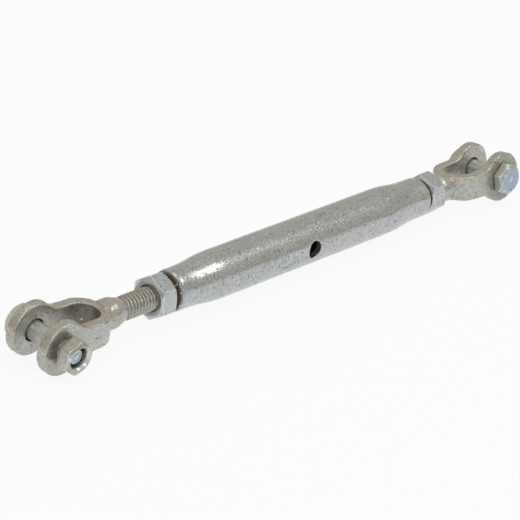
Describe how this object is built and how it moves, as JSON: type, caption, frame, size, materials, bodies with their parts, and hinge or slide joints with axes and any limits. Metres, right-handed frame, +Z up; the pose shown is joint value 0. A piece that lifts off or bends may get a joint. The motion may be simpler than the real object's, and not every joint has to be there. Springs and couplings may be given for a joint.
{
  "type": "turnbuckle",
  "caption": "Closed tubular turnbuckle with a forged fork jaw, clevis bolt and lock nut at each end and a cross hole for a turning bar, hot-dip galvanised.",
  "frame": {"origin": "middle of the tube, on the axis of its cross hole", "axes": "+X along the tube from the left jaw to the right jaw, +Y along the clevis bolts and the cross hole, +Z up"},
  "size_m": [0.3576, 0.0452, 0.0296],
  "materials": {
    "tube_galvanised": "hot-dip galvanised, dull with fine pits and specks",
    "jaw_galvanised": "drop-forged steel, hot-dip galvanised, matt with tan tints",
    "lock_nut_galvanised": "hot-dip galvanised hexagon nut",
    "bolt_zinc": "bright zinc with a bluish sheen",
    "clevis_nut_galvanised": "galvanised hexagon nut"
  },
  "bodies": {
    "right_jaw": {"jaw_right": "jaw_galvanised"},
    "right_lock_nut": {"lock_nut_right": "lock_nut_galvanised"},
    "tube": {"pipe_body": "tube_galvanised"},
    "left_jaw": {"jaw_left": "jaw_galvanised"},
    "left_lock_nut": {"lock_nut_left": "lock_nut_galvanised"},
    "left_bolt": {"clevis_bolt_left": "bolt_zinc", "clevis_nut_left": "clevis_nut_galvanised"},
    "right_bolt": {"clevis_bolt_right": "bolt_zinc", "clevis_nut_right": "clevis_nut_galvanised"}
  },
  "joints": [
    {"name": "right_thread_travel", "type": "slide", "parent": "right_jaw", "child": "right_lock_nut", "axis": [-1, 0, 0], "range_m": [0, 0.04233]},
    {"name": "tube_turn", "type": "hinge", "parent": "right_lock_nut", "child": "tube", "pos_m": [0, 0, 0], "axis": [-1, 0, 0], "range_deg": [0, 7200]},
    {"name": "left_thread_travel", "type": "slide", "parent": "right_lock_nut", "child": "left_jaw", "axis": [-1, 0, 0], "range_m": [0, 0.04233]},
    {"name": "left_lock_nut_travel", "type": "slide", "parent": "tube", "child": "left_lock_nut", "axis": [-1, 0, 0], "range_m": [-0.0024, 0.0185]},
    {"name": "left_bolt_turn", "type": "hinge", "parent": "left_jaw", "child": "left_bolt", "pos_m": [-0.1758, 0, 0], "axis": [0, 0.9962, 0.0872], "continuous": true},
    {"name": "right_bolt_turn", "type": "hinge", "parent": "right_jaw", "child": "right_bolt", "pos_m": [0.1544, 0, 0], "axis": [0, 0.9962, -0.0872], "continuous": true}
  ],
  "couplings": [
    {"joint": "right_thread_travel", "follows": "tube_turn", "m_per_rad": 0.00033688},
    {"joint": "left_thread_travel", "follows": "tube_turn", "m_per_rad": 0.00033688}
  ]
}
